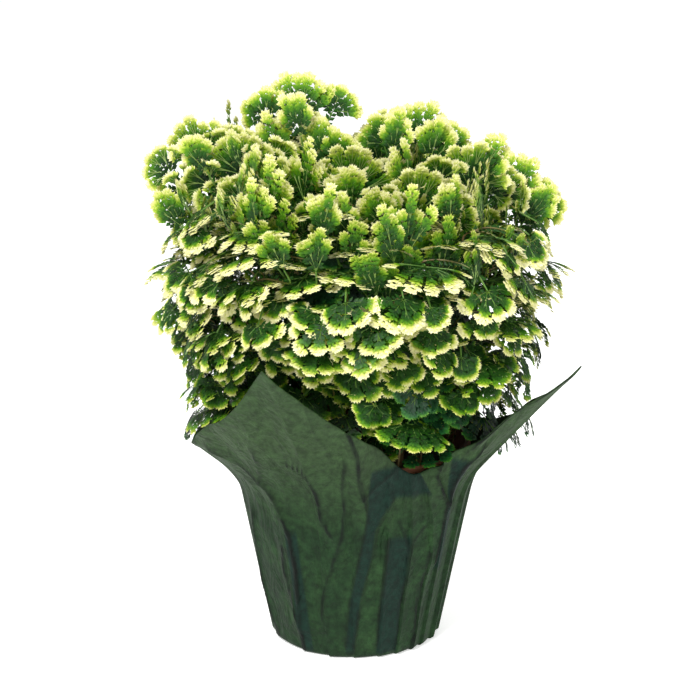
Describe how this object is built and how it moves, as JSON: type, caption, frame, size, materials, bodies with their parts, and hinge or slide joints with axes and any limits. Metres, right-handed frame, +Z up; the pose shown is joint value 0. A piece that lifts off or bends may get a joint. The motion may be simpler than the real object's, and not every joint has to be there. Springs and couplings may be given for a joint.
{
  "type": "potted foliage plant",
  "caption": "Bushy spikemoss with cream-tipped fan-shaped sprays in a round nursery pot of soil, set in a pleated paper pot cover with four pointed corners.",
  "frame": {"origin": "middle of the flat face the pot cover stands on", "axes": "+Z up; -Y towards the side that the picture shows as the front; +X to the right seen from that side"},
  "size_m": [0.1834, 0.1753, 0.2465],
  "materials": {
    "dark_green_paper": "matt crepe-like florist's paper, slightly waxed",
    "terracotta_plastic": "semi-matt moulded plastic",
    "peat_soil": "rough, crumbly",
    "variegated_leaf": "soft satin"
  },
  "bodies": {
    "root": {"pot_cover": "dark_green_paper", "grower_pot": "terracotta_plastic", "soil": "peat_soil", "spray_01": "variegated_leaf", "spray_02": "variegated_leaf", "spray_03": "variegated_leaf", "spray_04": "variegated_leaf", "spray_05": "variegated_leaf", "spray_06": "variegated_leaf", "spray_07": "variegated_leaf", "spray_08": "variegated_leaf", "spray_09": "variegated_leaf", "spray_10": "variegated_leaf", "spray_11": "variegated_leaf", "spray_12": "variegated_leaf", "spray_13": "variegated_leaf", "spray_14": "variegated_leaf", "spray_15": "variegated_leaf", "spray_16": "variegated_leaf", "spray_17": "variegated_leaf", "spray_18": "variegated_leaf", "spray_19": "variegated_leaf", "spray_20": "variegated_leaf", "spray_21": "variegated_leaf", "spray_22": "variegated_leaf", "spray_23": "variegated_leaf", "spray_24": "variegated_leaf", "spray_25": "variegated_leaf", "spray_26": "variegated_leaf", "spray_27": "variegated_leaf", "spray_28": "variegated_leaf", "spray_29": "variegated_leaf", "spray_30": "variegated_leaf", "spray_31": "variegated_leaf", "spray_32": "variegated_leaf", "spray_33": "variegated_leaf", "spray_34": "variegated_leaf", "spray_35": "variegated_leaf", "spray_36": "variegated_leaf", "spray_37": "variegated_leaf", "spray_38": "variegated_leaf", "spray_39": "variegated_leaf", "spray_40": "variegated_leaf", "spray_41": "variegated_leaf", "spray_42": "variegated_leaf", "spray_43": "variegated_leaf", "spray_44": "variegated_leaf", "spray_45": "variegated_leaf"}
  },
  "joints": []
}
